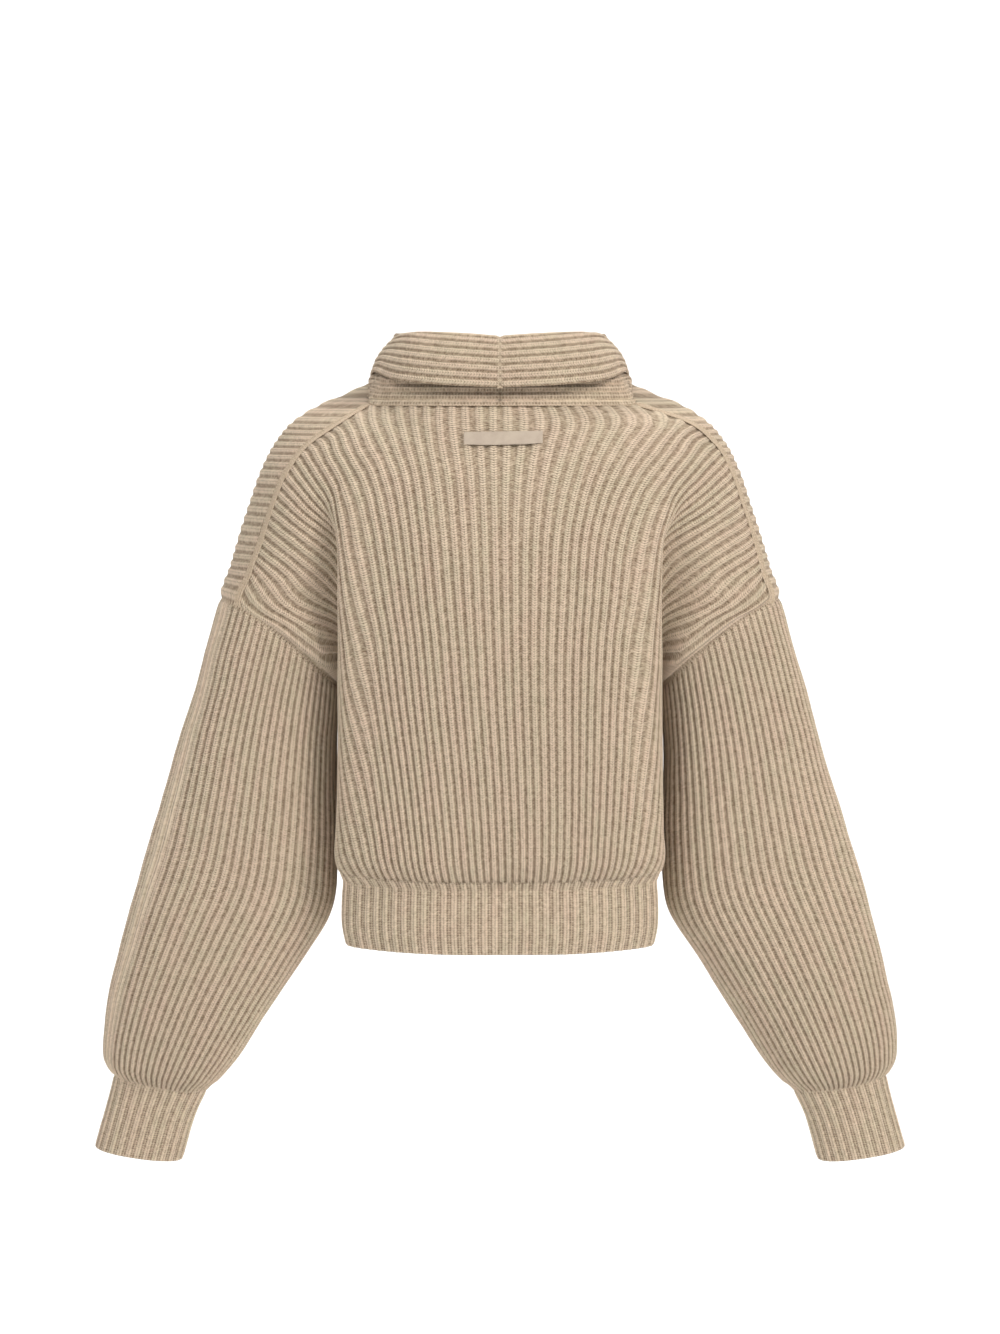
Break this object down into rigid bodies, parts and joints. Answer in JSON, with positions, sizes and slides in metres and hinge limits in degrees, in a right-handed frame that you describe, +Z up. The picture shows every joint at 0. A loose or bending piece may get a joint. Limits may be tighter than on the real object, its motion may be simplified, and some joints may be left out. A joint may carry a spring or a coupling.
{
  "type": "ribbed shawl-collar pullover",
  "caption": "Cropped long-sleeved ribbed knit pullover with a turned-down shawl collar, dropped shoulders, full sleeves, cuffs and hem band.",
  "frame": {"origin": "middle of the neck opening at the height of the centre-back neck seam, where the shoulders hold the garment", "axes": "+Z up along the wearer's neck, -Y the way the front faces, +X the wearer's left"},
  "size_m": [0.782, 0.222, 0.7981],
  "materials": {
    "back_knit": "ribbed wool knit",
    "front_knit": "ribbed wool knit",
    "sleeve_left_knit": "ribbed wool knit",
    "sleeve_right_knit": "ribbed wool knit",
    "cuff_left_knit": "ribbed wool knit",
    "cuff_right_knit": "ribbed wool knit",
    "collar_left_knit": "ribbed wool knit",
    "collar_right_knit": "ribbed wool knit",
    "hem_band_knit": "ribbed wool knit",
    "label_cloth": "woven tape"
  },
  "bodies": {
    "root": {"back": "back_knit", "front": "front_knit", "sleeve_left": "sleeve_left_knit", "sleeve_right": "sleeve_right_knit", "cuff_left": "cuff_left_knit", "cuff_right": "cuff_right_knit", "collar_left": "collar_left_knit", "collar_right": "collar_right_knit", "hem_band": "hem_band_knit", "label_tape": "label_cloth"}
  },
  "joints": []
}
